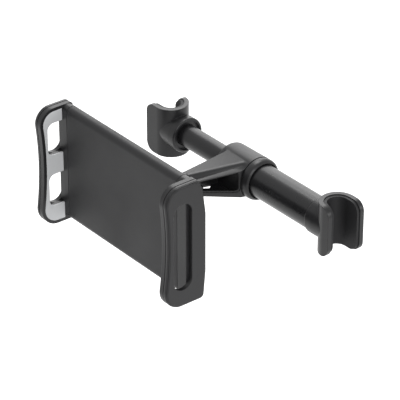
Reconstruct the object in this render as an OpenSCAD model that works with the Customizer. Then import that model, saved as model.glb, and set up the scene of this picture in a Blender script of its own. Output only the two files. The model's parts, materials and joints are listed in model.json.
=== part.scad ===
// Headrest tablet holder: a telescoping rod that is clipped between the two posts of a front
// seat's headrest, with a hollow arm, a ball joint and a sprung cradle for a tablet.
// Origin: axis of the right post clip at the height of the rod. +X runs along the rod from the
// left clip to the right one, +Y from the tablet to the headrest, +Z up.

/* [Rod] */
// Outside diameter of the outer tube
tube_d = 20.5; // [19:0.1:21.5]
// Wall of the outer tube
tube_wall = 1.5; // [1:0.1:1.8]
// Outside diameter of the sliding inner tube
slider_d = 14.8; // [13:0.1:15.4]
// Wall of the inner tube
slider_wall = 1.2; // [0.8:0.1:2]
// Distance between the axes of the two post clips, with the rod fully out
post_spacing = 164; // [163:0.5:176]
// Distance from the axis of the right post clip to the middle of the arm
arm_offset = 94.4; // [90:0.1:97]
// Length of the guide bush in the outer tube
bush_len = 14; // [8:0.5:16]
// Length of the piston's head on the inner tube
piston_len = 5; // [3:0.5:7]
// Length of the clips' spigots inside the tubes
spigot_len = 17; // [12:0.5:19]
// Thickness of the spring's wire
rod_wire = 1.2; // [0.8:0.1:1.3]
// Coils of the rod's spring
rod_coils = 8; // [6:1:9]

/* [Post clips] */
// Diameter of the opening for a headrest post
post_d = 13.6; // [12:0.1:14]
// Thickness of the rubber liner
liner_t = 2; // [1.2:0.1:2.4]
// Thickness of the clip's shell
clip_t = 3; // [2.4:0.1:4]
// Height of a clip
clip_h = 34.6; // [32:0.2:38]
// How far the long leg reaches past the post's axis
long_leg = 10.6; // [9:0.1:13]
// How far the short leg reaches past the post's axis
short_leg = 4.7; // [3:0.1:8]
// Corner radius of the legs' tips
tip_r = 6.5; // [5:0.5:9]
// Step of the liner inside the shell's edges
liner_step = 0.6; // [0.2:0.1:1]
// Length of a clip's sleeve behind its shell
sleeve_len = 6; // [5.5:0.1:9]
// Outside radius of a clip's sleeve
sleeve_r = 12; // [11.9:0.1:13]
// Rounding of the sleeve's edge
sleeve_edge = 1.2; // [0.4:0.1:1.5]
// Radius of the open mouth that the left sleeve has round the inner tube
mouth_r = 10.2; // [8.6:0.1:10.3]
// Depth of that mouth
mouth_depth = 2; // [1:0.1:2.2]
// Radius of the grub screws that hold the tubes
grub_r = 1; // [0.8:0.05:1.1]

/* [Arm] */
// Outside radius of the hub round the outer tube
hub_r = 13.05; // [12.9:0.05:14]
// Length of the hub
hub_len = 26.9; // [24:0.1:29]
// Distance from the middle of the arm to the hub's left end
hub_side = 8.7; // [8:0.1:10]
// Thickness of the hub's end wall
hub_cap = 1.2; // [1:0.1:1.5]
// Thickness of the friction sleeve between hub and tube
sleeve_t = 1; // [0.8:0.1:1.1]
// Length of the hub's threaded neck under the clamping ring
neck_len = 3.3; // [2.6:0.1:3.8]
// Wall of that neck
neck_wall = 0.9; // [0.7:0.05:1.1]
// Fall of the arm's flat top from the hub to the nose, in degrees
arm_fall = 5; // [3:0.1:5.4]
// Slope of the arm's lower edge, in degrees
arm_slope = 19.1; // [18:0.1:21]
// Distance from the rod's axis to the line of the arm's lower edge
arm_under = 17.4; // [17:0.1:18.2]
// Distance from the rod's axis to the arm's nose
arm_reach = 55.5; // [54:0.1:60]
// Half width of the arm at the hub
arm_wide = 8.1; // [7.6:0.1:8.6]
// Half width of the arm at its nose
arm_thin = 5.4; // [5:0.1:6]
// Thickness of the arm's wall on its left side
arm_wall = 2; // [1.5:0.1:2.6]
// Radius of the arm's nose
nose_r = 4.8; // [4.6:0.1:5.2]
// Thickness of the arm's lower flange
flange_t = 3; // [2.4:0.1:3.6]
// Distance from the rod's axis to the front end of the side opening
open_front = 34.3; // [32:0.1:36]
// Distance from the rod's axis to the rear end of the side opening
open_rear = 5.4; // [5:0.1:8]
// Height of the opening's front upper corner
open_top = 3.7; // [3:0.1:4.2]
// Corner radius of the opening
open_r = 1.8; // [1:0.1:2.5]
// Projection of the sloped ledge over the opening
ledge_w = 1; // [0.4:0.1:1.4]
// Length of the clamping ring
ring_len = 5.9; // [5.4:0.1:8]
// Outside radius of the clamping ring
ring_r = 14; // [13.8:0.1:15.5]
// Depth of the ring's recessed face
ring_recess = 1.7; // [1:0.1:1.8]
// Width of the dark gap between ring and tube
ring_gap = 2.05; // [1.4:0.05:2.4]

/* [Ball joint] */
// Diameter of the ball
ball_d = 16; // [15.6:0.1:16.8]
// Diameter of the ball's neck
neck_d = 7.2; // [6.4:0.1:7.6]
// Diameter of the stud's shank in the arm's nose
shank_d = 5.2; // [4.6:0.1:5.6]
// Length of that shank
shank_len = 12; // [10:0.5:13]
// Distance from the arm's nose to the centre of the ball
ball_reach = 12.5; // [12.3:0.1:15]
// Height of the ball above the rod's axis
ball_z = 5.4; // [5.2:0.1:6]
// Thickness of the cup round the ball
cup_t = 1.9; // [1.6:0.1:2.2]
// Half angle of the cup's mouth, in degrees
cup_mouth = 50; // [47:1:54]
// Wall between the cup's seat and the inside of the cradle
seat_floor = 1.6; // [1.4:0.1:2.4]
// Wall of the threaded socket
socket_wall = 2.5; // [2:0.1:2.8]
// Outside radius of the lock nut
nut_r = 15.5; // [15.2:0.1:17]
// Length of the lock nut
nut_len = 11.6; // [10:0.1:13]
// Number of grips on the lock nut
nut_grips = 18; // [12:1:24]

/* [Cradle] */
// Gap between the two jaws' pads, closed
grip_w = 120; // [116:1:130]
// Height of the cradle's middle above the rod's axis
cradle_z = 9.6; // [7:0.1:11]
// Height of the centre body
body_h = 80; // [78:0.5:84]
// Depth of the centre body
body_d = 13.4; // [13:0.1:15]
// Wall of the covers
cover_t = 2; // [1.6:0.1:2.2]
// Radius of the rolled front edges
roll_r = 4; // [3:0.1:4.2]
// Depth of the body at its top edge
top_d = 8.7; // [8.2:0.1:10]
// Depth of the body at its bottom edge
foot_d = 10.5; // [10:0.1:12]
// Length of a jaw's foot, from the seam to the pad
foot_len = 4.5; // [3.5:0.1:6]
// Width of the seam between body and jaws
seam = 0.4; // [0.3:0.05:0.6]
// Travel of each jaw
jaw_travel = 40; // [20:1:42]

/* [Jaws] */
// Whole thickness of a jaw
jaw_t = 6.7; // [6.4:0.1:8]
// Thickness of the outer shell of a jaw
shell_t = 2.9; // [2.6:0.1:3.2]
// Width of the groove between the two halves of a jaw
groove_w = 0.6; // [0.3:0.05:0.8]
// Depth of that groove
groove_d = 1; // [0.6:0.1:1.4]
// Thickness of the grey pad
pad_t = 1.4; // [1:0.1:1.6]
// How far a jaw stands in front of the body at its hollow
jaw_front = 15; // [14:0.1:18]
// How far a jaw stands above the centre body
jaw_over = 0.2; // [0.2:0.1:4]
// How far a jaw reaches below the centre body
jaw_under = 2.4; // [2:0.1:6]
// Radius of a jaw's upper front corner
corner_up_r = 10.5; // [8:0.1:12]
// Radius of a jaw's lower front corner
corner_down_r = 12; // [9:0.1:13]
// Radius of the long hollow in a jaw's front edge
waist_r = 222; // [150:1:400]
// Rim of a jaw round its pad
rim_w = 2.2; // [1.8:0.1:3]
// Rounding of the jaws' outer edges
edge_r = 1.4; // [0.6:0.1:1.6]
// Height of each of the left jaw's two windows
window_h = 22.8; // [20:0.1:24]
// Distance between the middles of the two windows
window_pitch = 36.2; // [34:0.1:38]
// Height of the right jaw's slot
slot_h = 59.2; // [50:0.1:62]
// Width of the windows and the slot
window_w = 13.8; // [13:0.1:15]
// How far the windows flare behind the front of the body
window_flare = 2.5; // [1.5:0.1:3]

/* [Rack and pinion] */
// Tooth module
tooth_m = 1; // [0.9:0.05:1.05]
// Height of a rack arm behind its teeth
rack_h = 11; // [10:0.1:12]
// Thickness of the rack arms, along the depth of the cradle
rack_t = 5; // [4.6:0.1:5.5]
// Diameter of the pinion's pin
pin_d = 4; // [3:0.1:5]
// Thickness of the jaw springs' wire
jaw_wire = 0.7; // [0.5:0.05:0.9]
// Coils of a jaw spring
jaw_coils = 16; // [12:1:18]

/* [Hidden] */
$fn = 64;

// Running clearance on the radius, clearance of seated pieces, and clearance at end faces
run_gap = 0.05;
seat_gap = 0.03;
end_gap = 0.3;

// Rod
tube_r = tube_d / 2;
tube_bore = tube_r - tube_wall;
slider_r = slider_d / 2;
slider_bore = slider_r - slider_wall;
arm_x = -arm_offset;
left_x = -post_spacing;
post_r = post_d / 2;
liner_r = post_r + liner_t;
clip_r = liner_r + clip_t;
web_t = 1;
seat_x = clip_r + web_t;
sleeve_x = clip_r + sleeve_len;
hub_x0 = arm_x - hub_side;
hub_x1 = hub_x0 + hub_len;
tube_x0 = hub_x0 + hub_cap + end_gap;
tube_x1 = -seat_x;
bush_x1 = tube_x0 + bush_len;
piston_x0 = bush_x1 + end_gap;
piston_x1 = piston_x0 + piston_len;
spigot_x0 = tube_x1 - spigot_len;
grub_x = clip_r + 2.5;
grub_depth = 5;
grub_sink = 0.5;

// Arm and clamping ring
sleeve_in = tube_r + run_gap;
sleeve_out = sleeve_in + sleeve_t;
hub_bore = sleeve_out + seat_gap;
thread_r = hub_bore + neck_wall;
ring_x0 = hub_x1 + end_gap;
ring_x1 = ring_x0 + ring_len;
neck_x1 = hub_x1 + neck_len;
under_n = [-sin(arm_slope), -cos(arm_slope)];
heel_r = 9.1;
web_end = 5.5;

// Ball joint
ball_r = ball_d / 2;
neck_r = neck_d / 2;
shank_r = shank_d / 2;
ball_y = -(arm_reach + ball_reach);
cup_in = ball_r + run_gap;
cup_out = cup_in + cup_t;
seat_r = cup_out + run_gap;
socket_r = seat_r + socket_wall;
socket_end = 1.5;
nut_face = 7.6;
nut_mouth = 8.4;
groove_r = shank_r - 0.7;
stud_pin_r = 0.9;
stud_pin_y = -(arm_reach - 6);

// Cradle, in its own frame: origin in the front face, at half height, over the arm
back_y = ball_y - seat_r - seat_floor;
cradle_y = back_y - body_d;
half_h = body_h / 2;
half_w = grip_w / 2 - foot_len - seam;
split_y = 6.5;
back_up = 0.55;
back_low = 0.65;
ball_up = ball_z - cradle_z;
screw_x = half_w - 15.1;
screw_z = half_h - 11;
screw_r = 1.25;
head_r = 2.4;
head_t = 1.8;
head_y = 6.8;
boss_r = 3.4;

// Jaws
pad_x = grip_w / 2;
jaw_up = half_h + jaw_over;
jaw_down = half_h + jaw_under;
jaw_back = top_d - 0.2;
jaw_foot = foot_d + 1.5;
shell_x1 = pad_x + jaw_t;
shell_x0 = shell_x1 - shell_t;
plate_x1 = shell_x0 - groove_w;
waist_z = 2;
waist_y = -jaw_front - waist_r;
up_z = jaw_up - corner_up_r;
up_y = waist_y + sqrt(pow(waist_r + corner_up_r, 2) - pow(up_z - waist_z, 2));
down_z = corner_down_r - jaw_down;
down_y = waist_y + sqrt(pow(waist_r + corner_down_r, 2) - pow(down_z - waist_z, 2));
window_mid = 0.4;
slot_mid = -1.2;
slot_drop = 3.8;
window_r = window_w / 2;
jaw_screw_r = 0.95;
jaw_head_r = 2 * jaw_screw_r;
jaw_head_t = jaw_screw_r;

// Racks and pinion
teeth = 15;
pitch_r = tooth_m * teeth / 2;
tooth_up = 0.8 * tooth_m;
tooth_down = 1.15 * tooth_m;
tooth_p = PI * tooth_m;
tooth_half = 0.21 * tooth_p;
pressure = 20;
base_r = pitch_r * cos(pressure);
rack_y = split_y - rack_t / 2;
rack_z0 = pitch_r + tooth_down;
rack_z1 = rack_z0 + rack_h;
rack_end = jaw_travel + 6;
spring_r = rack_t / 2 - 0.1;
lane_z = rack_z0 + rack_h / 2;
lane_r = spring_r + end_gap;
stop_t = 2;
stop_x = half_w - cover_t - stop_t;
lane_x0 = rack_end - 3;
pin_r = pin_d / 2;

// Colours
satin = [0.10, 0.10, 0.105];
rubber = [0.06, 0.06, 0.06];
grey = [0.62, 0.63, 0.64];
steel = [0.60, 0.61, 0.62];
nylon = [0.85, 0.84, 0.80];

// Helpers: a cylinder along X, a cylinder along Y, and profiles drawn in a side or front view
module rod_x(r, x0, x1) translate([x0, 0, 0]) rotate([0, 90, 0]) cylinder(r = r, h = x1 - x0);
module rod_y(r, y0, y1) translate([0, y0, 0]) rotate([-90, 0, 0]) cylinder(r = r, h = y1 - y0);
module side(x0, x1) translate([x0, 0, 0]) rotate([90, 0, 90]) linear_extrude(x1 - x0) children();
module front(y0, y1) translate([0, y1, 0]) rotate([90, 0, 0]) linear_extrude(y1 - y0) children();

module tube(r1, r0, x0, x1) {
    difference() {
        rod_x(r1, x0, x1);
        rod_x(r0, x0 - 1, x1 + 1);
    }
}

module slab(x0, x1, z0, z1, r) {
    translate([x0 + r, z0]) square([x1 - x0 - 2 * r, z1 - z0]);
    translate([x0, z0 + r]) square([x1 - x0, z1 - z0 - 2 * r]);
    for (x = [x0 + r, x1 - r], z = [z0 + r, z1 - r]) translate([x, z]) circle(r);
}

// Section of a coiled wire, cut square to the coil's axis
function coil_section(r, w, pitch) = [for (t = [0 : 30 : 330])
    (r + w * cos(t)) * [cos(-360 * w * sin(t) / pitch), sin(-360 * w * sin(t) / pitch)]];

module coil(r, w, len, coils) {
    pitch = len / coils;
    linear_extrude(height = len, twist = -360 * coils, slices = coils * 14, $fn = 12)
        polygon(coil_section(r, w, pitch));
}

module grub(tube_end_r) {
    translate([-grub_x, 0, -tube_end_r]) {
        difference() {
            cylinder(r = grub_r, h = grub_depth);
            translate([0, 0, -1]) cylinder(r = grub_r * 0.55, h = 2, $fn = 6);
        }
    }
}

// Post clips, drawn for the right side with the post's axis on Z
module clip_plan(r, leg) {
    circle(r);
    translate([0, -r]) square([leg, 2 * r]);
}

// Both legs in a front view, flat above and below, each with its own rounded tip
module clip_legs(step) {
    h = clip_h / 2 - step;
    front(-2 * clip_r, 0) slab(-2 * clip_r, short_leg - step, -h, h, tip_r);
    front(0, 2 * clip_r) slab(-2 * clip_r, long_leg - step, -h, h, tip_r);
}

module clip_shell(seat, bore) {
    difference() {
        union() {
            intersection() {
                translate([0, 0, -clip_h]) linear_extrude(2 * clip_h) clip_plan(clip_r, long_leg + 1);
                clip_legs(0);
            }
            translate([-sleeve_x, 0, 0]) rotate([0, 90, 0]) rotate_extrude() sleeve_half();
        }
        translate([0, 0, -clip_h]) linear_extrude(2 * clip_h) clip_plan(liner_r, long_leg + 2);
        tube(seat + seat_gap, bore - seat_gap, -sleeve_x - 1, -seat_x);
        translate([-grub_x, 0, -2 * clip_r]) cylinder(r = grub_r + seat_gap, h = 2 * clip_r);
    }
    difference() {
        rod_x(bore - seat_gap, -seat_x - spigot_len, -liner_r - 1);
        translate([-grub_x, 0, -2 * clip_r]) cylinder(r = grub_r + seat_gap, h = 2 * clip_r);
    }
}

// Half section of a sleeve that runs out inside the shell
module sleeve_half() {
    run_out = clip_r + short_leg - 1;
    difference() {
        union() {
            translate([0, sleeve_edge]) square([sleeve_r, sleeve_len - sleeve_edge]);
            square([sleeve_r - sleeve_edge, sleeve_len]);
            translate([sleeve_r - sleeve_edge, sleeve_edge]) circle(sleeve_edge);
            polygon([[0, sleeve_len], [sleeve_r, sleeve_len], [clip_r - 0.6, sleeve_len + run_out],
                     [0, sleeve_len + run_out]]);
        }
        translate([-2 * sleeve_edge, -sleeve_edge]) square([2 * sleeve_edge, 4 * sleeve_edge]);
    }
}

module clip_liner() {
    intersection() {
        translate([0, 0, -clip_h]) linear_extrude(2 * clip_h) difference() {
            clip_plan(liner_r - seat_gap, long_leg);
            clip_plan(post_r, long_leg + 1);
        }
        clip_legs(liner_step);
    }
}

module at_left_post() {
    translate([left_x, 0, 0]) rotate([0, 0, 180]) children();
}

module right_clip() {
    color(satin) clip_shell(tube_r, tube_bore);
}

module left_clip() {
    color(satin) at_left_post() difference() {
        clip_shell(slider_r, slider_bore);
        tube(mouth_r, slider_r, -sleeve_x - 1, -sleeve_x + mouth_depth);
    }
}

module right_clip_liner() {
    color(rubber) clip_liner();
}

module left_clip_liner() {
    color(rubber) at_left_post() clip_liner();
}

module right_clip_screw() {
    color(steel) grub(sleeve_r - grub_sink);
}

module left_clip_screw() {
    color(steel) at_left_post() grub(sleeve_r - grub_sink);
}

// Telescoping rod
module outer_tube() {
    color(satin) difference() {
        tube(tube_r, tube_bore, tube_x0, tube_x1);
        translate([-grub_x, 0, -tube_r - 1]) cylinder(r = grub_r + seat_gap, h = tube_r);
    }
}

module tube_bush() {
    color(nylon) tube(tube_bore - seat_gap, slider_r + run_gap, tube_x0, bush_x1);
}

module inner_tube() {
    color(satin) difference() {
        tube(slider_r, slider_bore, left_x + seat_x, piston_x0);
        translate([left_x + grub_x, 0, -slider_r - 1]) cylinder(r = grub_r + seat_gap, h = slider_r);
    }
}

module slider_piston() {
    color(nylon) {
        rod_x(tube_bore - run_gap, piston_x0, piston_x1);
        rod_x(slider_bore - seat_gap, piston_x0 - 2 * piston_len, piston_x0);
    }
}

module rod_spring() {
    color(steel) translate([piston_x1 + seat_gap, 0, 0]) rotate([0, 90, 0])
        coil(tube_bore - 1 - rod_wire / 2, rod_wire / 2, spigot_x0 - piston_x1 - 2 * seat_gap, rod_coils);
}

// Arm
function unit(v) = v / norm(v);
function round_corner(a, b, c, r) = let (u = unit(a - b), v = unit(c - b), half = acos(u * v) / 2,
    mid = b + unit(u + v) * r / sin(half), from = atan2((b + u * r / tan(half) - mid)[1],
    (b + u * r / tan(half) - mid)[0]), sweep = u[0] * v[1] - u[1] * v[0] > 0 ? half * 2 - 180 : 180 - half * 2)
    [for (k = [0 : 6]) mid + r * [cos(from + sweep * k / 6), sin(from + sweep * k / 6)]];
function top_at(y) = hub_r / cos(arm_fall) + y * tan(arm_fall);
function under_at(y, up) = (arm_under - up + under_n[0] * -y) / under_n[1];

module arm_edge() {
    nose_y = 4 - arm_reach;
    polygon([[-hub_r * sin(arm_fall), hub_r * cos(arm_fall)], [nose_y, top_at(nose_y)],
             [nose_y, under_at(nose_y, 0)], [under_n[0] * arm_under, under_n[1] * arm_under], [0, -heel_r]]);
    translate([under_n[0] * (arm_under - heel_r) + 1.2, under_n[1] * (arm_under - heel_r) - 0.45])
        circle(heel_r);
}

// Side opening, a four-sided hole with rounded corners, from the front end to the given end
module arm_opening(rear_y) {
    front_y = 1 - open_front;
    top_rear = open_top - 0.1 * (open_front + rear_y);
    ends = [[-open_front, open_top], [rear_y, top_rear], [rear_y - 0.8, under_at(rear_y, flange_t)],
            [front_y, under_at(front_y, flange_t)]];
    polygon([for (i = [0 : 3]) each round_corner(ends[(i + 3) % 4], ends[i], ends[(i + 1) % 4], open_r)]);
}

module arm_plan() {
    translate([arm_x, 0]) polygon([[-arm_wide, 9], [arm_wide, 9], [arm_wide, 0], [arm_thin, -arm_reach],
        [-arm_thin, -arm_reach], [-arm_wide, 0]]);
}

// Ledge over the opening, drawn as a wedge along the arm's right side
module arm_ledge() {
    taper = atan((arm_wide - arm_thin) / arm_reach);
    translate([arm_x + arm_wide, 0, open_top - 0.1 * open_front + 0.4]) rotate([-5.7, 0, -taper])
        front(-open_front, -6) polygon([[-1, 0], [ledge_w, 0], [ledge_w, 0.4], [0, 2.6], [-1, 2.6]]);
}

module arm() {
    color(satin) difference() {
        union() {
            intersection() {
                side(arm_x - arm_wide, arm_x + arm_wide) arm_edge();
                translate([0, 0, -2 * arm_under]) linear_extrude(4 * arm_under) arm_plan();
            }
            arm_ledge();
            rod_x(hub_r, hub_x0, hub_x1);
            rod_x(thread_r, hub_x1 - 1, neck_x1);
            translate([arm_x, 0, ball_z]) rod_y(nose_r, -arm_reach, -42);
        }
        // The opening goes through at its front end and is closed on the left behind it
        side(arm_x + arm_wall - arm_thin, arm_x + 2 * arm_wide) arm_opening(-open_rear);
        side(arm_x - 2 * arm_wide, arm_x) arm_opening(web_end - open_front);
        rod_x(hub_bore, hub_x0 + hub_cap, neck_x1 + 1);
        rod_x(slider_r + 0.6, hub_x0 - 1, hub_x0 + 2 * hub_cap);
        translate([arm_x, 0, ball_z])
            rod_y(shank_r + run_gap, -arm_reach - 1, end_gap + shank_len - arm_reach);
        translate([arm_x - 2 * nose_r, stud_pin_y, ball_z - groove_r - stud_pin_r])
            rotate([0, 90, 0]) cylinder(r = stud_pin_r + seat_gap, h = 2.9 * nose_r);
    }
}

module friction_sleeve() {
    color(rubber) tube(sleeve_out, sleeve_in, tube_x0, neck_x1);
}

module stud_pin() {
    color(steel) translate([arm_x - nose_r + 1, stud_pin_y, ball_z - groove_r - stud_pin_r])
        rotate([0, 90, 0]) cylinder(r = stud_pin_r - seat_gap, h = 1.6 * nose_r);
}

module clamp_ring() {
    color(satin) difference() {
        rod_x(ring_r, ring_x0, ring_x1);
        rod_x(thread_r + run_gap, ring_x0 - 1, neck_x1 + end_gap);
        rod_x(tube_r + end_gap, ring_x0 - 1, ring_x1 + 1);
        rod_x(tube_r + ring_gap, ring_x1 - ring_recess, ring_x1 + 1);
    }
}

// Ball joint
module at_ball() {
    translate([arm_x, ball_y, ball_z]) children();
}

module ball_stud() {
    color(steel) at_ball() difference() {
        union() {
            sphere(ball_r);
            rod_y(neck_r, 0, ball_reach - end_gap);
            rod_y(shank_r, 0, ball_reach + shank_len);
        }
        translate([0, ball_reach + 6 - stud_pin_r - 0.1, 0]) rotate([-90, 0, 0])
            difference() {
                cylinder(r = shank_r + 1, h = 2 * stud_pin_r + 0.2);
                translate([0, 0, -1]) cylinder(r = groove_r, h = 2 * stud_pin_r + 3);
            }
    }
}

module ball_cup() {
    color(nylon) at_ball() difference() {
        sphere(cup_out);
        sphere(cup_in);
        rotate([-90, 0, 0]) cylinder(r1 = 0, r2 = 2 * cup_out * tan(cup_mouth), h = 2 * cup_out);
    }
}

module lock_nut() {
    color(satin) at_ball() difference() {
        rod_y(nut_r, nut_face - nut_len, nut_face);
        rod_y(socket_r + run_gap, nut_face - nut_len - 1, socket_end + end_gap);
        sphere(seat_r);
        rod_y(nut_mouth, 0, nut_face + 1);
        for (i = [0 : nut_grips - 1])
            rotate([0, (i + 0.5) * 360 / nut_grips, 0]) translate([nut_r + 0.6, 0, 0])
                rod_y(1.4, nut_face - nut_len - 1, nut_face + 1);
    }
}

// Cradle
module at_cradle() {
    translate([arm_x, cradle_y, cradle_z]) children();
}

// Side view of the centre body, with an inset for its inside
module body_side(i) {
    r = roll_r - i;
    back_r = top_d / 2 - 0.1;
    low_r = 3;
    for (z = [-1, 1]) translate([roll_r, z * (half_h - roll_r)]) circle(r);
    translate([top_d - back_r, half_h - back_r]) circle(back_r - i);
    translate([foot_d - low_r, low_r - half_h]) circle(low_r - i);
    polygon([[i, half_h - roll_r], [roll_r, half_h - i], [top_d - back_r, half_h - i],
             [top_d - i, half_h - back_r], [body_d - i, back_up * half_h], [body_d - i, -back_low * half_h],
             [foot_d - i, low_r - half_h], [foot_d - low_r, i - half_h], [roll_r, i - half_h],
             [i, roll_r - half_h]]);
}

module body_band(y0, y1) {
    intersection() {
        body_side(0);
        translate([y0, -body_h]) square([y1 - y0, 2 * body_h]);
    }
}

// Space that both rack arms pass through at the ends of the body
module rack_gates() {
    for (s = [-1, 1]) {
        z0 = s > 0 ? -rack_z1 - end_gap : pitch_r - tooth_up - end_gap;
        translate([s > 0 ? half_w - 2 * cover_t : -half_w - cover_t, rack_y - end_gap, z0])
            cube([3 * cover_t, rack_t + 2 * end_gap, rack_z1 - pitch_r + tooth_up + 2 * end_gap]);
    }
}

module cradle_front() {
    color(satin) at_cradle() {
        difference() {
            side(-half_w, half_w) body_band(-1, split_y);
            side(cover_t - half_w, half_w - cover_t) body_side(cover_t);
            rack_gates();
        }
        // Rails under and beside the rack arms, and the blocks that the springs push on
        for (turn = [0, 180]) rotate([0, turn, 0]) {
            translate([1 - half_w, cover_t - 0.5, -rack_z1 - 2 - run_gap])
                cube([2 * half_w - 2, split_y - cover_t + 0.5, 2]);
            translate([1 - half_w, cover_t - 0.5, -rack_z1])
                cube([2 * half_w - 2, rack_y - run_gap - cover_t + 0.5, 1.6]);
            translate([stop_x, cover_t - 0.5, -lane_z - spring_r])
                cube([stop_t, rack_y + rack_t - cover_t, 2 * spring_r]);
        }
        for (x = [-screw_x, screw_x], z = [-screw_z, screw_z]) translate([x, 0, z]) difference() {
            rod_y(boss_r, cover_t - 0.5, split_y);
            rod_y(screw_r + seat_gap, cover_t + 0.5, split_y + 1);
        }
        difference() {
            rod_y(pin_r + 2, cover_t - 0.5, rack_y - end_gap);
            rod_y(pin_r + seat_gap, cover_t, rack_y);
        }
    }
}

module cradle_back() {
    color(satin) at_cradle() difference() {
        union() {
            difference() {
                side(-half_w, half_w) body_band(split_y, body_d + 1);
                side(cover_t - half_w, half_w - cover_t) body_side(cover_t);
                rack_gates();
            }
            for (turn = [0, 180]) rotate([0, turn, 0])
                translate([1 - half_w, rack_y + rack_t + run_gap, -rack_z1])
                    cube([2 * half_w - 2, body_d - cover_t + 0.5 - rack_y - rack_t, 1.6]);
            intersection() {
                for (x = [-screw_x, screw_x], z = [-screw_z, screw_z]) translate([x, 0, z])
                    rod_y(boss_r, split_y, body_d);
                side(-half_w, half_w) body_side(0.1);
            }
            rod_y(pin_r + 2, rack_y + rack_t + end_gap, body_d - 0.5);
            translate([0, 0, ball_up]) rod_y(socket_r, body_d - 1, ball_y + socket_end - cradle_y);
        }
        translate([0, ball_y - cradle_y, ball_up]) {
            sphere(seat_r);
            rod_y(seat_r, 0, 2 * seat_r);
        }
        rod_y(pin_r + seat_gap, 0, body_d - cover_t);
        for (x = [-screw_x, screw_x], z = [-screw_z, screw_z]) translate([x, 0, z]) {
            rod_y(screw_r + end_gap, 0, body_d + 1);
            rod_y(head_r + end_gap, head_y, body_d + 1);
        }
    }
}

module cradle_screws() {
    color(steel) at_cradle() for (x = [-screw_x, screw_x], z = [-screw_z, screw_z])
        translate([x, 0, z]) difference() {
            union() {
                rod_y(screw_r, cover_t + 0.6, head_y + 0.1);
                rod_y(head_r, head_y, head_y + head_t);
            }
            for (a = [0, 90]) rotate([0, a, 0])
                translate([-0.3, head_y + head_t - 0.8, -1.5]) cube([0.6, 1, 3]);
        }
}

module pinion_pin() {
    color(steel) at_cradle() rod_y(pin_r, cover_t + seat_gap, body_d - cover_t - seat_gap);
}

// Involute flank of the pinion
function involute(r) = let (a = r <= base_r ? 0 : acos(base_r / r)) tan(a) * 180 / PI - a;
function flank(r) = tooth_half / pitch_r * 180 / PI + involute(pitch_r) - involute(r);
tip_r2 = pitch_r + tooth_up;
root_r = pitch_r - tooth_down;
flank_r = [root_r, base_r, pitch_r, (pitch_r + tip_r2) / 2, tip_r2];

module pinion_tooth() {
    polygon(concat([[0, 0]],
        [for (r = flank_r) r * [cos(-flank(r)), sin(-flank(r))]],
        [for (i = [4 : -1 : 0]) flank_r[i] * [cos(flank(flank_r[i])), sin(flank(flank_r[i]))]]));
}

module pinion() {
    color(nylon) at_cradle() front(rack_y, rack_y + rack_t) difference() {
        union() {
            circle(root_r);
            for (i = [0 : teeth - 1]) rotate(90 + i * 360 / teeth) pinion_tooth();
        }
        circle(pin_r + run_gap);
    }
}

// Rack arm of a jaw, in a front view, with its teeth moved along by the given part of a pitch
module rack_arm(shift) {
    run = tooth_half + tooth_down * tan(pressure);
    top = tooth_half - tooth_up * tan(pressure);
    first = ceil(-rack_end / tooth_p + 0.5);
    difference() {
        translate([-rack_end, -rack_z1]) square([rack_end + pad_x - foot_len + 1, rack_h]);
        translate([-lane_x0, -lane_z - lane_r]) square([lane_x0 + stop_x + stop_t + end_gap, 2 * lane_r]);
    }
    for (i = [first : 2]) translate([(i + shift) * tooth_p, -pitch_r])
        polygon([[-run, -tooth_down - 0.2], [-run, -tooth_down], [-top, tooth_up], [top, tooth_up],
                 [run, -tooth_down], [run, -tooth_down - 0.2]]);
}

module jaw_spring() {
    translate([-lane_x0 + seat_gap, split_y, -lane_z]) rotate([0, 90, 0])
        coil(spring_r - jaw_wire / 2, jaw_wire / 2, stop_x + lane_x0 - 2 * seat_gap, jaw_coils);
}

module right_spring() {
    color(steel) at_cradle() jaw_spring();
}

module left_spring() {
    color(steel) at_cradle() rotate([0, 180, 0]) jaw_spring();
}

// Points of an arc from one angle to another
function arc(y, z, r, from, to, steps) =
    [for (k = [0 : steps]) let (a = from + (to - from) * k / steps) [y + r * cos(a), z + r * sin(a)]];

// Side view of a jaw, with an inset: corner, hollow front edge, corner, and the sloped back
module jaw_side(i) {
    turn_up = atan2(waist_z - up_z, waist_y - up_y);
    turn_down = atan2(waist_z - down_z, waist_y - down_y);
    up_at = turn_up < 0 ? turn_up + 360 : turn_up;
    back_up_r = 2.5;
    back_down_r = 3;
    polygon(concat(
        arc(up_y, up_z, corner_up_r - i, 90, up_at, 20),
        arc(waist_y, waist_z, waist_r + i, up_at - 180, turn_down - 180, 18),
        arc(down_y, down_z, corner_down_r - i, turn_down, 270, 20),
        arc(jaw_foot - back_down_r, back_down_r - jaw_down, back_down_r - min(i, 2), 270, 360, 8),
        [[body_d - i, -0.6 * half_h], [body_d - i, 0.4 * half_h], [jaw_back + 2.5 - i, jaw_up - 6.2]],
        arc(jaw_back - back_up_r, jaw_up - back_up_r, back_up_r - min(i, 2), 0, 90, 8)));
}

// Windows of the two jaws; they reach behind the front of the body by the given depth
module windows(left, back, drop) {
    y0 = window_flare - window_w;
    if (left)
        for (s = [-1, 1]) translate([0, window_mid + s * window_pitch / 2])
            slab(y0, y0 + window_w - window_flare + back + 0.01, -window_h / 2, window_h / 2,
                 back > 0 ? window_r - 0.1 : 4.5);
    else translate([0, slot_mid])
        slab(y0, y0 + window_w - window_flare + back + 0.01, -slot_h / 2 - drop, slot_h / 2,
             back > 0 ? window_r - 0.1 : 5);
}

// The windows with their corners on the body's side left square
module open_windows(left, drop) {
    windows(left, 0, drop);
    y1 = -5;
    if (left)
        for (s = [-1, 1]) translate([y1, window_mid + s * window_pitch / 2 - window_h / 2])
            square([-y1, window_h]);
    else translate([y1, slot_mid - slot_h / 2 - drop]) square([-y1, slot_h + drop]);
}

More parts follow.
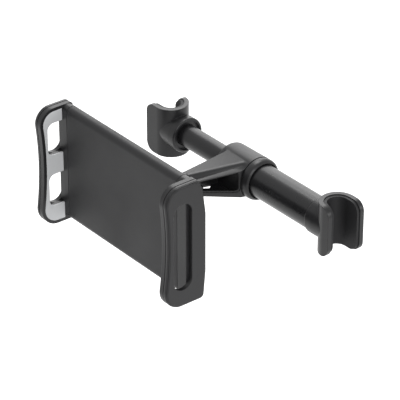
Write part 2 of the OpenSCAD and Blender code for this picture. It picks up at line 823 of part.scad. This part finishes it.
screw_right = [[-7, jaw_up - 5.2], [-8.5, 4.9 - jaw_down]];
screw_left = concat(screw_right, [[-9, window_mid]]);

// Inner half of a jaw with its foot and rack arm, drawn for the right side
module jaw_body(left) {
    spots = left ? screw_left : screw_right;
    difference() {
        union() {
            side(pad_x, plate_x1) jaw_side(0);
            side(plate_x1 - 0.1, shell_x0) jaw_side(groove_d);
        }
        intersection() {
            side(pad_x - 1, pad_x + pad_t) jaw_side(rim_w);
            translate([pad_x - 1, -body_h, -body_h]) cube([pad_t + 1, body_h, 2 * body_h]);
        }
        side(pad_x - 1, shell_x0 + 1) open_windows(left, left ? 0 : slot_drop);
        for (p = spots) translate([0, p[0], p[1]]) {
            rod_x(jaw_screw_r + 0.15, pad_x, shell_x0 + 1);
            rod_x(jaw_head_r + 0.2, pad_x, pad_x + pad_t + 1);
        }
    }
    side(pad_x - foot_len, pad_x + 0.1) body_side(0);
    if (left) front(rack_y, rack_y + rack_t) mirror([0, 1]) rack_arm(0.5);
    else front(rack_y, rack_y + rack_t) rack_arm(0);
}

module jaw_pad(left) {
    difference() {
        side(pad_x, pad_x + pad_t - seat_gap) jaw_side(rim_w + seat_gap);
        side(pad_x - 1, pad_x + pad_t) open_windows(left, left ? 0 : slot_drop);
        translate([pad_x - 1, -seat_gap, -body_h]) cube([pad_t + 1, 2 * body_d, 2 * body_h]);
    }
}

module jaw_shell(left) {
    steps = 3;
    difference() {
        union() {
            side(shell_x0, shell_x1 - edge_r) jaw_side(0);
            for (k = [1 : steps]) {
                lift = edge_r * sin(90 * k / steps);
                side(shell_x0 + 1, shell_x1 - edge_r + lift) jaw_side(edge_r - edge_r * cos(90 * k / steps));
            }
        }
        side(shell_x0 - 1, shell_x1 + 1) windows(left, window_flare, 0);
        for (p = left ? screw_left : screw_right) translate([0, p[0], p[1]])
            rod_x(jaw_screw_r + 0.05, shell_x0 - 1, shell_x0 + 1.6);
    }
}

module jaw_screw_set(left) {
    for (p = left ? screw_left : screw_right) translate([0, p[0], p[1]]) {
        rod_x(jaw_head_r, pad_x + pad_t + seat_gap, pad_x + pad_t + jaw_head_t);
        rod_x(jaw_screw_r, pad_x + pad_t + jaw_head_t / 2, shell_x0 + 1.5);
    }
}

module right_jaw() {
    color(satin) at_cradle() jaw_body(false);
}

module right_jaw_shell() {
    color(satin) at_cradle() jaw_shell(false);
}

module right_jaw_pad() {
    color(grey) at_cradle() jaw_pad(false);
}

module right_jaw_screws() {
    color(steel) at_cradle() jaw_screw_set(false);
}

module left_jaw() {
    color(satin) at_cradle() mirror([1, 0, 0]) jaw_body(true);
}

module left_jaw_shell() {
    color(satin) at_cradle() mirror([1, 0, 0]) jaw_shell(true);
}

module left_jaw_pad() {
    color(grey) at_cradle() mirror([1, 0, 0]) jaw_pad(true);
}

module left_jaw_screws() {
    color(steel) at_cradle() mirror([1, 0, 0]) jaw_screw_set(true);
}

outer_tube();
tube_bush();
rod_spring();
right_clip();
right_clip_liner();
right_clip_screw();
inner_tube();
slider_piston();
left_clip();
left_clip_liner();
left_clip_screw();
arm();
friction_sleeve();
stud_pin();
clamp_ring();
ball_stud();
ball_cup();
lock_nut();
cradle_front();
cradle_back();
cradle_screws();
pinion();
pinion_pin();
left_spring();
right_spring();
left_jaw();
left_jaw_shell();
left_jaw_pad();
left_jaw_screws();
right_jaw();
right_jaw_shell();
right_jaw_pad();
right_jaw_screws();
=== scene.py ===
"""Headrest tablet holder: looks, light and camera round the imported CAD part."""
import json
import math

import bmesh
import bpy
from mathutils import Matrix, Vector


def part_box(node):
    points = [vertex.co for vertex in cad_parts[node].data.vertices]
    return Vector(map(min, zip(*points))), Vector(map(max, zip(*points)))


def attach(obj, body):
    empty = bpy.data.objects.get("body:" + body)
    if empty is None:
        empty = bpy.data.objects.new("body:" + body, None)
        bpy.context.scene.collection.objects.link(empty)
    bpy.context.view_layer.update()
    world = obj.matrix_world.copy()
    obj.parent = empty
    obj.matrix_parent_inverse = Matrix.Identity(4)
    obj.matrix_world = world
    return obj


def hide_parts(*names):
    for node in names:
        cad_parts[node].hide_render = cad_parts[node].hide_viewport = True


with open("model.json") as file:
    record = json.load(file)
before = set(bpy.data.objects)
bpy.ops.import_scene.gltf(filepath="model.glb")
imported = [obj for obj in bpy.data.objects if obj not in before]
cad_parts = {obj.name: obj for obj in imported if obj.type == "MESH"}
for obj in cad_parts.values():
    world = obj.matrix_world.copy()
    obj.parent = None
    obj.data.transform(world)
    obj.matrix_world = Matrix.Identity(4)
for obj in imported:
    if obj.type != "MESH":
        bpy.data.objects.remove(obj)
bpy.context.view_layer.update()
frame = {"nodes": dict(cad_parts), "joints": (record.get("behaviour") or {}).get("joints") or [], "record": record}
MM = 0.001

# Materials: lengths in metres, noise scales in waves per metre
CLOUD_SCALE = 28.0
# Noise that breaks up the painted edge highlight
HIGHLIGHT_NOISE_SCALE = 160.0
ROUGH_SPREAD = 0.05
CLOUD_RANGE = (0.3, 0.7)
EDGE_REACH = 0.45 * MM
EDGE_SAMPLES = 6
EDGE_TURN = (0.995, 0.80)  # cosine between the bevelled and the true normal, off an edge and on it
# Painted edge highlight: on an edge the colour is the base colour times the gain, plus the lift
EDGE_HIGHLIGHT_GAIN = 2.2
EDGE_HIGHLIGHT_LIFT = 0.02
GRAIN_DEPTH = 0.05 * MM
WHITE = (1, 1, 1, 1)


def new_material(name):
    material = bpy.data.materials.new(name)
    material.use_nodes = True
    material.node_tree.nodes.clear()
    return material, material.node_tree.nodes, material.node_tree.links


def noise(nodes, links, coords, scale, detail):
    texture = nodes.new("ShaderNodeTexNoise")
    texture.inputs["Scale"].default_value = scale
    texture.inputs["Detail"].default_value = detail
    links.new(coords.outputs["Object"], texture.inputs["Vector"])
    return texture.outputs["Fac"]


def map_range(nodes, links, value, source, target):
    """Move a value from the source range to the target range."""
    ranges = nodes.new("ShaderNodeMapRange")
    ranges.inputs["From Min"].default_value = source[0]
    ranges.inputs["From Max"].default_value = source[1]
    ranges.inputs["To Min"].default_value = target[0]
    ranges.inputs["To Max"].default_value = target[1]
    links.new(value, ranges.inputs["Value"])
    return ranges.outputs[0]


def combine_values(nodes, links, operation, first, second):
    node = nodes.new("ShaderNodeMath")
    node.operation = operation
    links.new(first, node.inputs[0])
    links.new(second, node.inputs[1])
    return node.outputs[0]


def plastic(name, color, rough, grain, grain_scale, edge=0.35, metallic=0.0, specular=0.5):
    """Moulded or coated surface: fine grain, roughness that varies, and a painted highlight along the edges."""
    material, nodes, links = new_material(name)
    out = nodes.new("ShaderNodeOutputMaterial")
    shader = nodes.new("ShaderNodeBsdfPrincipled")
    links.new(shader.outputs[0], out.inputs[0])
    shader.inputs["Metallic"].default_value = metallic
    shader.inputs["Specular IOR Level"].default_value = specular
    coords = nodes.new("ShaderNodeTexCoord")
    # Roughness: it varies in a broad cloud
    cloud = noise(nodes, links, coords, CLOUD_SCALE, detail=5.0)
    rough_range = (rough - ROUGH_SPREAD, rough + ROUGH_SPREAD)
    links.new(map_range(nodes, links, cloud, CLOUD_RANGE, rough_range), shader.inputs["Roughness"])
    # Edges: where a bevelled normal leaves the true one, the colour is a little lighter: a painted edge highlight,
    # broken up by a noise
    bevel = nodes.new("ShaderNodeBevel")
    bevel.samples = EDGE_SAMPLES
    bevel.inputs["Radius"].default_value = EDGE_REACH
    geometry = nodes.new("ShaderNodeNewGeometry")
    turn = nodes.new("ShaderNodeVectorMath")
    turn.operation = "DOT_PRODUCT"
    links.new(bevel.outputs[0], turn.inputs[0])
    links.new(geometry.outputs["Normal"], turn.inputs[1])
    highlight_mask = map_range(nodes, links, turn.outputs["Value"], EDGE_TURN, (0.0, edge))
    highlight_noise = noise(nodes, links, coords, HIGHLIGHT_NOISE_SCALE, detail=3.0)
    mix = nodes.new("ShaderNodeMix")
    mix.data_type = "RGBA"
    mix.inputs["A"].default_value = (*color, 1)
    mix.inputs["B"].default_value = (*[min(1.0, c * EDGE_HIGHLIGHT_GAIN + EDGE_HIGHLIGHT_LIFT) for c in color], 1)
    links.new(combine_values(nodes, links, "MULTIPLY", highlight_mask, highlight_noise), mix.inputs["Factor"])
    links.new(mix.outputs["Result"], shader.inputs["Base Color"])
    # Grain: fine bumps over the bevelled normal
    bump = nodes.new("ShaderNodeBump")
    bump.inputs["Strength"].default_value = grain
    bump.inputs["Distance"].default_value = GRAIN_DEPTH
    links.new(noise(nodes, links, coords, grain_scale, detail=2.0), bump.inputs["Height"])
    links.new(bevel.outputs[0], bump.inputs["Normal"])
    links.new(bump.outputs[0], shader.inputs["Normal"])
    return material


LOOKS = {
    "satin_black": dict(color=(0.016, 0.016, 0.017), rough=0.34, grain=0.25, grain_scale=5200, specular=0.3),
    "plate_black": dict(color=(0.017, 0.017, 0.018), rough=0.50, grain=0.45, grain_scale=4200, specular=0.3),
    "tube_gloss": dict(color=(0.014, 0.014, 0.015), rough=0.30, grain=0.10, grain_scale=2600, specular=0.3),
    "rubber": dict(color=(0.012, 0.012, 0.013), rough=0.60, grain=0.45, grain_scale=4200, specular=0.3),
    "grey_pad": dict(color=(0.62, 0.63, 0.64), rough=0.62, grain=0.35, grain_scale=3600, edge=0.2),
    "nylon": dict(color=(0.80, 0.79, 0.75), rough=0.42, grain=0.2, grain_scale=3200, edge=0.1),
    "ball_steel": dict(color=(0.62, 0.63, 0.64), rough=0.16, grain=0.1, grain_scale=2000, metallic=1.0),
    "spring_steel": dict(color=(0.55, 0.56, 0.57), rough=0.30, grain=0.2, grain_scale=3000, metallic=1.0),
    "screw_steel": dict(color=(0.50, 0.51, 0.52), rough=0.34, grain=0.2, grain_scale=3000, metallic=1.0),
}
materials = {name: plastic(name, **look) for name, look in LOOKS.items()}
for part in frame["record"]["subparts"]:
    for slot in frame["nodes"][part["node"]].material_slots:
        slot.material = materials[part["material_slot"]]

# Places in the arm: millimetres from the middle of its turning axis, with x along the tube, y away from the
# cradle and z up
joint_at = {joint["name"]: Vector(joint["pos_m"]) for joint in frame["joints"]}
ARM = joint_at["arm_tilt"]


def from_arm(point):
    return (Vector(point) - ARM) / MM


def corners(node):
    """Lowest and highest corner of a CAD node, to a hundredth of a millimetre."""
    return [[round(v, 2) for v in from_arm(corner)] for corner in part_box(node)]


# Mesh tools
def circle(radius, segments):
    turns = [2 * math.pi * k / segments for k in range(segments)]
    return [(radius * math.cos(turn), radius * math.sin(turn)) for turn in turns]


def bend(start, towards, end, steps=2):
    """Points of a smooth bend that leaves its start, and reaches its end, in line with a third point."""
    shares = [k / steps for k in range(steps + 1)]
    return [tuple((1 - t) ** 2 * a + 2 * t * (1 - t) * b + t * t * c for a, b, c in zip(start, towards, end))
            for t in shares]


def solid(name, points, faces):
    mesh = bpy.data.meshes.new(name)
    mesh.from_pydata([ARM + Vector(point) * MM for point in points], [], faces)
    piece = bpy.data.objects.new(name, mesh)
    bpy.context.collection.objects.link(piece)
    work = bmesh.new()
    work.from_mesh(mesh)
    bmesh.ops.recalc_face_normals(work, faces=work.faces)
    work.to_mesh(mesh)
    work.free()
    return piece


def prism(name, ring_a, ring_b):
    """Closed solid between two outlines with the same number of points."""
    count = len(ring_a)
    sides = [(i, (i + 1) % count, count + (i + 1) % count, count + i) for i in range(count)]
    ends = [tuple(range(count)), tuple(range(count, 2 * count))]
    return solid(name, list(ring_a) + list(ring_b), sides + ends)


def prism_along_x(name, outline, x0, x1):
    return prism(name, [(x0, y, z) for y, z in outline], [(x1, y, z) for y, z in outline])


def prism_along_y(name, outline, y0, y1):
    return prism(name, [(x, y0, z) for x, z in outline], [(x, y1, z) for x, z in outline])


def prism_along_z(name, outline, z0, z1):
    return prism(name, [(x, y, z0) for x, y in outline], [(x, y, z1) for x, y in outline])


def lathe(name, profile, segments=96):
    """Closed profile of (place on the turning axis, radius), turned round that axis."""
    points = [(x, r * u, r * v) for u, v in circle(1, segments) for x, r in profile]
    count = len(profile)
    faces = []
    for k in range(segments):
        here, there = k * count, (k + 1) % segments * count
        for i in range(count):
            after = (i + 1) % count
            faces.append((here + i, here + after, there + after, there + i))
    return solid(name, points, faces)


def combine(piece, other, how):
    """Join a piece with another one, or cut it by that one, which is then gone."""
    modifier = piece.modifiers.new(how, "BOOLEAN")
    modifier.operation = how
    modifier.solver = "EXACT"
    modifier.object = other
    depsgraph = bpy.context.evaluated_depsgraph_get()
    mesh = bpy.data.meshes.new_from_object(piece.evaluated_get(depsgraph))
    piece.modifiers.clear()
    piece.data = mesh
    bpy.data.objects.remove(other)


SHARP = 0.4
SMOOTH = math.radians(32)


def soften(piece, width, chosen=lambda ends: True, segments=3):
    """Round the chosen sharp edges, or all of them, by the given width."""
    work = bmesh.new()
    work.from_mesh(piece.data)
    edges = [edge for edge in work.edges if len(edge.link_faces) == 2 and edge.calc_face_angle() > SHARP
             and chosen([from_arm(end.co) for end in edge.verts])]
    bmesh.ops.bevel(work, geom=edges, offset=width * MM, segments=segments, profile=0.5, affect="EDGES",
                    clamp_overlap=True)
    work.to_mesh(piece.data)
    work.free()


def finish_piece(piece, body, slot, node):
    """Shade a piece, put it on its body and let it stand for its CAD node."""
    piece.data.materials.clear()
    piece.data.materials.append(materials[slot])
    for face in piece.data.polygons:
        face.use_smooth = True
        face.material_index = 0
    piece.data.set_sharp_from_angle(angle=SMOOTH)
    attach(piece, body)
    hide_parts(node)


# Arm, clamping ring and thick tube

# Their solids carry the main form. The pieces here stand for them with the slanted right wall, the ledge over
# the opening, the rounded spine, the ring's rounded rim and the tube's full thickness. Their ends and fits
# come from the solids, and their other sizes from the photograph.
arm_low, arm_high = corners("arm")
ring_low, ring_high = corners("clamp_ring")
tube_low, tube_high = corners("outer_tube")
sleeve_low, sleeve_high = corners("friction_sleeve")

NOSE_Z = round(from_arm(joint_at["cradle_spin"]).z, 2)
NOSE_TIP = arm_low[1]
STUD_END = corners("ball_stud")[1][1]
FRONT = NOSE_TIP + 4.0
HUB_LEFT, HUB_STEP = arm_low[0], arm_high[0]
RING_R = ring_high[2]
TUBE_R = tube_high[2]
FAR = 40

# Arm in plan: left side, nose, and the right wall that slants in ahead of the hub
RIGHT = ring_low[0] - 0.3
SLANT_Y = -13.0
SLANT = 0.478
LEFT_HUB, LEFT_NOSE = -4.0, -4.9
NOSE_LEFT_Y, NOSE_RIGHT_Y = -42.0, -40.5
SPINE_NOSE_X = 2.6
SPINE_IN = 3.4
SPINE_HUB_IN, SPINE_HUB_Y = 1.5, -9.0
SPINE_END_IN = 0.2
LEFT_PART = -3.5

# Arm from the side: the height of each line at y 0, or at the y named beside it, and its rise with y
TOP, TOP_RISE = 13.13, 0.11
LEDGE_Y, LEDGE, LEDGE_RISE = -16.4, 8.4, 0.16
UNDER, UNDER_RISE = -12.2, -0.179

# Arm seen along itself: the spine's right flank leans, and the ledge falls outwards
LEAN, LEAN_Z = 0.42, 8
LEDGE_FALL = 0.22


def slant_x(y):
    return RIGHT + SLANT * (y - SLANT_Y)


def wall_x(y):
    return min(RIGHT, slant_x(y))


def top_z(y):
    return TOP + TOP_RISE * y


def ledge_z(y):
    return LEDGE + LEDGE_RISE * (y - LEDGE_Y)


def under_z(y):
    return UNDER + UNDER_RISE * y


def runs_along(ends):
    """Whether an edge runs along the arm, for more than 5 mm."""
    return abs(ends[0].y - ends[1].y) > 5


def in_top(ends, near):
    """Whether an edge lies in the spine's top, give or take the distance named."""
    return all(abs(end.z - top_z(end.y)) < near for end in ends)


left_edge = [(LEFT_HUB, 0.0), (LEFT_NOSE, NOSE_LEFT_Y), (LEFT_NOSE, FRONT)]
right_edge = [(-LEFT_NOSE, FRONT), (wall_x(NOSE_RIGHT_Y), NOSE_RIGHT_Y), (RIGHT, SLANT_Y), (RIGHT, 0.0)]
spine_edge = [(SPINE_NOSE_X, FRONT), (wall_x(NOSE_RIGHT_Y) - SPINE_IN, NOSE_RIGHT_Y),
              (RIGHT - SPINE_HUB_IN, SPINE_HUB_Y), (RIGHT - SPINE_END_IN, 0.0)]


def arm_spine():
    """Beam between the ledge and the top, with a leaning right flank and rounded edges."""
    overlap = 1
    hub_drop = 0.1
    right_round, left_round = 2.2, 0.9

    def plan(z):
        lean = (LEAN_Z - z) * LEAN
        return [(x, y, z) for x, y in left_edge] + [(x + lean, y, z) for x, y in spine_edge]

    side = [(0, top_z(0) - hub_drop), (FRONT, top_z(FRONT)), (FRONT, ledge_z(FRONT) - overlap),
            (0, ledge_z(0) - overlap)]
    spine = prism_along_x("arm_spine", side, -FAR, FAR)
    combine(spine, prism("flank", plan(-4), plan(16)), "INTERSECT")
    soften(spine, right_round, lambda ends: min(end.x for end in ends) > LEFT_PART and in_top(ends, 0.2)
           and runs_along(ends), 6)
    soften(spine, left_round, lambda ends: max(end.x for end in ends) < LEFT_PART and in_top(ends, 0.3))
    return spine


def arm_wall():
    """Body of the arm below the ledge, which falls outwards."""
    overlap, past = 2, 3
    foot_y, foot_z = -2.7, -12.6
    edge_round = 0.45
    side = [(0, ledge_z(0) + overlap), (FRONT, ledge_z(FRONT) + overlap), (FRONT, under_z(FRONT)),
            (foot_y, under_z(foot_y)), (0, foot_z)]
    wall = prism_along_x("arm_wall", side, -FAR, FAR)
    combine(wall, prism_along_z("plan", left_edge + right_edge, -FAR, FAR), "INTERSECT")

    def over_ledge(y):
        inner, outer = -8, past
        falling = [(slant_x(y) + step, y, ledge_z(y) - step * LEDGE_FALL) for step in (inner, outer)]
        return falling + [(slant_x(y) + step, y, FAR) for step in (outer, inner)]

    combine(wall, prism("over_ledge", over_ledge(past), over_ledge(FRONT - past)), "DIFFERENCE")
    soften(wall, edge_round, runs_along)
    return wall


def nose_cylinder(name, radius, segments, y0, y1):
    return prism_along_y(name, [(x, NOSE_Z + z) for x, z in circle(radius, segments)], y0, y1)


def arm_nose():
    """Round boss for the ball's stud, with a softened rim."""
    radius, rim_round = 4.8, 0.6
    nose = nose_cylinder("nose", radius, 64, NOSE_TIP, NOSE_LEFT_Y)
    soften(nose, rim_round)
    return nose


def arm_hub():
    """Tube round the friction sleeve, closed by a cap on the left, with a step for the clamping ring."""
    bore = sleeve_high[2] + 0.13
    cap = sleeve_low[0] - 0.3
    cap_r, cap_hole = 12.2, 8.0
    left_r, step_r = 13.75, 12.3
    round_end = bend((HUB_LEFT, cap_r), (HUB_LEFT + 0.08, left_r + 0.15), (HUB_LEFT + 3.2, left_r), 3)
    return lathe("arm_look", [*round_end, (RIGHT, RING_R), (RIGHT, step_r), (HUB_STEP, step_r),
                              (HUB_STEP, bore), (cap, bore), (cap, cap_hole), (HUB_LEFT, cap_hole)])


def hub_inside():
    """Space in the hub, kept clear of the wall: its edge lies between the hub's bore and its outside."""
    radius, left = 11.9, -9
    return prism_along_x("hub_inside", circle(radius, 96), left, FAR)


def arm_hollow():
    """Space inside the arm's walls."""
    front, back = -37.0, -14.5
    roof, base, left, right_wall = 2.0, 1.4, -3.2, 1.7
    side = [(y, ledge_z(y) - roof) for y in (front, back)] + [(y, under_z(y) + base) for y in (back, front)]
    return prism("hollow", [(left, y, z) for y, z in side], [(wall_x(y) - right_wall, y, z) for y, z in side])


def arm_opening():
    """Opening in the right wall, with rounded back corners."""
    front, bend_y, back, below_ledge = -36.0, -15.0, -13.9, 0.5
    side = [(front, ledge_z(front) - below_ledge),
            *bend((bend_y, ledge_z(bend_y) - below_ledge), (back - 0.05, 8.59), (back, 4.5)),
            *bend((back, -3.2), (back - 0.3, -4.7), (-15.7, -5.0)), (front, -2.1)]
    return prism_along_x("opening", side, -3.0, FAR)


def arm_lip():
    """Shallow sunk border round the opening."""
    front, bend_y, back, below_ledge = -37.0, -14.8, -13.3, 0.5
    depth, past = 0.7, 6
    side = [(front, ledge_z(front) - below_ledge),
            *bend((bend_y, ledge_z(bend_y) - below_ledge), (back - 0.45, 8.67), (back, 4.5)),
            *bend((back, -3.8), (back - 0.2, -5.65), (-15.7, -6.1)), (front, -3.1)]
    return prism("lip", [(wall_x(y) - depth, y, z) for y, z in side],
                 [(wall_x(y) + past, y, z) for y, z in side])


def arm_slot():
    """Slot through the underside, up into the hollow."""
    plan = [(-3.1, -26.2), (-3.1, -19.2), (1.4, -25.0), (0.1, -29.0)]
    bottom, top = -16, -3
    return prism_along_z("slot", plan, bottom, top)


def stud_bore():
    """Hole for the ball's stud, which ends half a millimetre behind it."""
    radius = 2.65
    return nose_cylinder("bore", radius, 48, NOSE_TIP - 1, STUD_END + 0.5)


wall = arm_wall()
combine(wall, arm_spine(), "UNION")
combine(wall, arm_nose(), "UNION")
combine(wall, hub_inside(), "DIFFERENCE")
arm_look = arm_hub()
combine(arm_look, wall, "UNION")
for cutter in (arm_hollow(), arm_slot(), arm_opening(), arm_lip(), stud_bore()):
    combine(arm_look, cutter, "DIFFERENCE")
finish_piece(arm_look, "arm_body", "satin_black", "arm")


def clamping_ring():
    """Ring over the hub's step, with a rounded rim and a thin flange that reaches in to the tube."""
    left, right = ring_low[0], ring_high[0]
    bore = 12.6
    flange_left, flange_right = HUB_STEP + 0.4, HUB_STEP + 0.9
    flange_r = TUBE_R + 0.35
    crown, tip = (left + 1.1, RING_R), (right, 12.2)
    edge = bend((left, RING_R - 0.6), (left + 0.25, RING_R + 0.1), crown)
    rim = bend(crown, (right - 0.96, RING_R + 0.18), tip, 5)
    mouth = bend(tip, (right + 0.25, 11.76), (flange_right, 11.4), 4)
    return lathe("clamp_ring_look", [(left, bore), *edge, *rim[1:], *mouth[1:], (flange_right, flange_r),
                                     (flange_left, flange_r), (flange_left, bore)])


def thick_tube():
    """Outer tube, at the thickness that shows between the ring and the right clip's sleeve."""
    left, right = tube_low[0], tube_high[0]
    bore = TUBE_R - 1.5
    shown_r = 11.05
    in_ring = HUB_STEP + 1.1
    at_sleeve = right - 5.1
    return lathe("outer_tube_look", [(left, TUBE_R), (in_ring, TUBE_R), (in_ring + 0.3, shown_r),
                                     (at_sleeve - 0.2, shown_r), (at_sleeve, TUBE_R), (right, TUBE_R),
                                     (right, bore), (left, bore)], 128)


finish_piece(clamping_ring(), "ring_body", "satin_black", "clamp_ring")
finish_piece(thick_tube(), "rod", "tube_gloss", "outer_tube")


# Stage: metres and watts
WORLD_SEEN, WORLD_LIGHT = 1.0, 0.45
FLOOR_SIZE, FLOOR_Z = 6.0, -0.32
FLOOR_GREY, FLOOR_GLOW = 0.85, 0.5
MIDDLE = Vector((-0.085, -0.04, 0.005))


def ray_mix(nodes, links, seen, hidden, out):
    """Camera, glossy and transmission rays see one shader, the light rays the other."""
    path = nodes.new("ShaderNodeLightPath").outputs
    shown = combine_values(nodes, links, "MAXIMUM", path["Is Camera Ray"], path["Is Glossy Ray"])
    shown = combine_values(nodes, links, "MAXIMUM", shown, path["Is Transmission Ray"])
    mix = nodes.new("ShaderNodeMixShader")
    links.new(shown, mix.inputs[0])
    links.new(hidden, mix.inputs[1])
    links.new(seen, mix.inputs[2])
    links.new(mix.outputs[0], out)


def white_glow(nodes, kind, strength):
    """White light from a background or an emitting surface."""
    light = nodes.new(kind)
    light.inputs[0].default_value = WHITE
    light.inputs[1].default_value = strength
    return light.outputs[0]


def studio():
    """White to look at, dimmer as a light."""
    world = bpy.data.worlds.new("studio")
    bpy.context.scene.world = world
    world.use_nodes = True
    nodes, links = world.node_tree.nodes, world.node_tree.links
    nodes.clear()
    out = nodes.new("ShaderNodeOutputWorld")
    seen = white_glow(nodes, "ShaderNodeBackground", WORLD_SEEN)
    hidden = white_glow(nodes, "ShaderNodeBackground", WORLD_LIGHT)
    ray_mix(nodes, links, seen, hidden, out.inputs[0])


def lamp(name, at, side, power):
    """Square lamp that faces the middle of the object."""
    light = bpy.data.lights.new(name, "AREA")
    light.shape = "SQUARE"
    light.size = side
    light.energy = power
    holder = bpy.data.objects.new(name, light)
    bpy.context.collection.objects.link(holder)
    holder.location = at
    holder.rotation_euler = (MIDDLE - Vector(at)).to_track_quat("-Z", "Y").to_euler()


def pale_floor():
    bpy.ops.mesh.primitive_plane_add(size=FLOOR_SIZE, location=(0, 0, FLOOR_Z))
    floor = bpy.context.object
    floor.name = "floor"
    material, nodes, links = new_material("floor_white")
    out = nodes.new("ShaderNodeOutputMaterial")
    diffuse = nodes.new("ShaderNodeBsdfDiffuse")
    diffuse.inputs[0].default_value = (FLOOR_GREY, FLOOR_GREY, FLOOR_GREY, 1)
    both = nodes.new("ShaderNodeAddShader")
    links.new(diffuse.outputs[0], both.inputs[0])
    links.new(white_glow(nodes, "ShaderNodeEmission", FLOOR_GLOW), both.inputs[1])
    ray_mix(nodes, links, both.outputs[0], diffuse.outputs[0], out.inputs[0])
    floor.data.materials.append(material)


studio()
lamp("key", (-1.05, 0.70, 0.75), side=0.8, power=5.4)
lamp("back", (-1.05, 0.98, 0.12), side=0.7, power=1.4)
lamp("top", (-0.58, 0.38, 1.22), side=0.6, power=11)
lamp("rim", (0.95, 0.60, 0.30), side=0.5, power=3)
lamp("fill", (0.95, -0.50, 0.75), side=0.6, power=6.5)
pale_floor()

# Camera, fitted to the photograph: angles in radians, place in metres, lens and sensor in millimetres
AZIMUTH, ELEVATION = math.radians(51.377), math.radians(30.218)
CAMERA_AT = Vector((0.9424, -0.8593, 0.75915))
LENS, SENSOR = 219.6, 36
PHOTO_WIDTH = 400
HALF_PIXEL = 0.5 / PHOTO_WIDTH
away_x, away_y = -math.sin(AZIMUTH), math.cos(AZIMUTH)
right = Vector((away_y, -away_x, 0))
up = Vector((away_x * math.sin(ELEVATION), away_y * math.sin(ELEVATION), math.cos(ELEVATION)))
ahead = Vector((away_x * math.cos(ELEVATION), away_y * math.cos(ELEVATION), -math.sin(ELEVATION)))
optics = bpy.data.cameras.new("camera")
optics.sensor_width = SENSOR
optics.lens = LENS
optics.clip_end = 20
optics.shift_x = -HALF_PIXEL
optics.shift_y = HALF_PIXEL
camera = bpy.data.objects.new("camera", optics)
bpy.context.collection.objects.link(camera)
camera.matrix_world = Matrix.Translation(CAMERA_AT) @ Matrix((right, up, -ahead)).transposed().to_4x4()
bpy.context.scene.camera = camera
bpy.context.scene.view_settings.view_transform = "Standard"
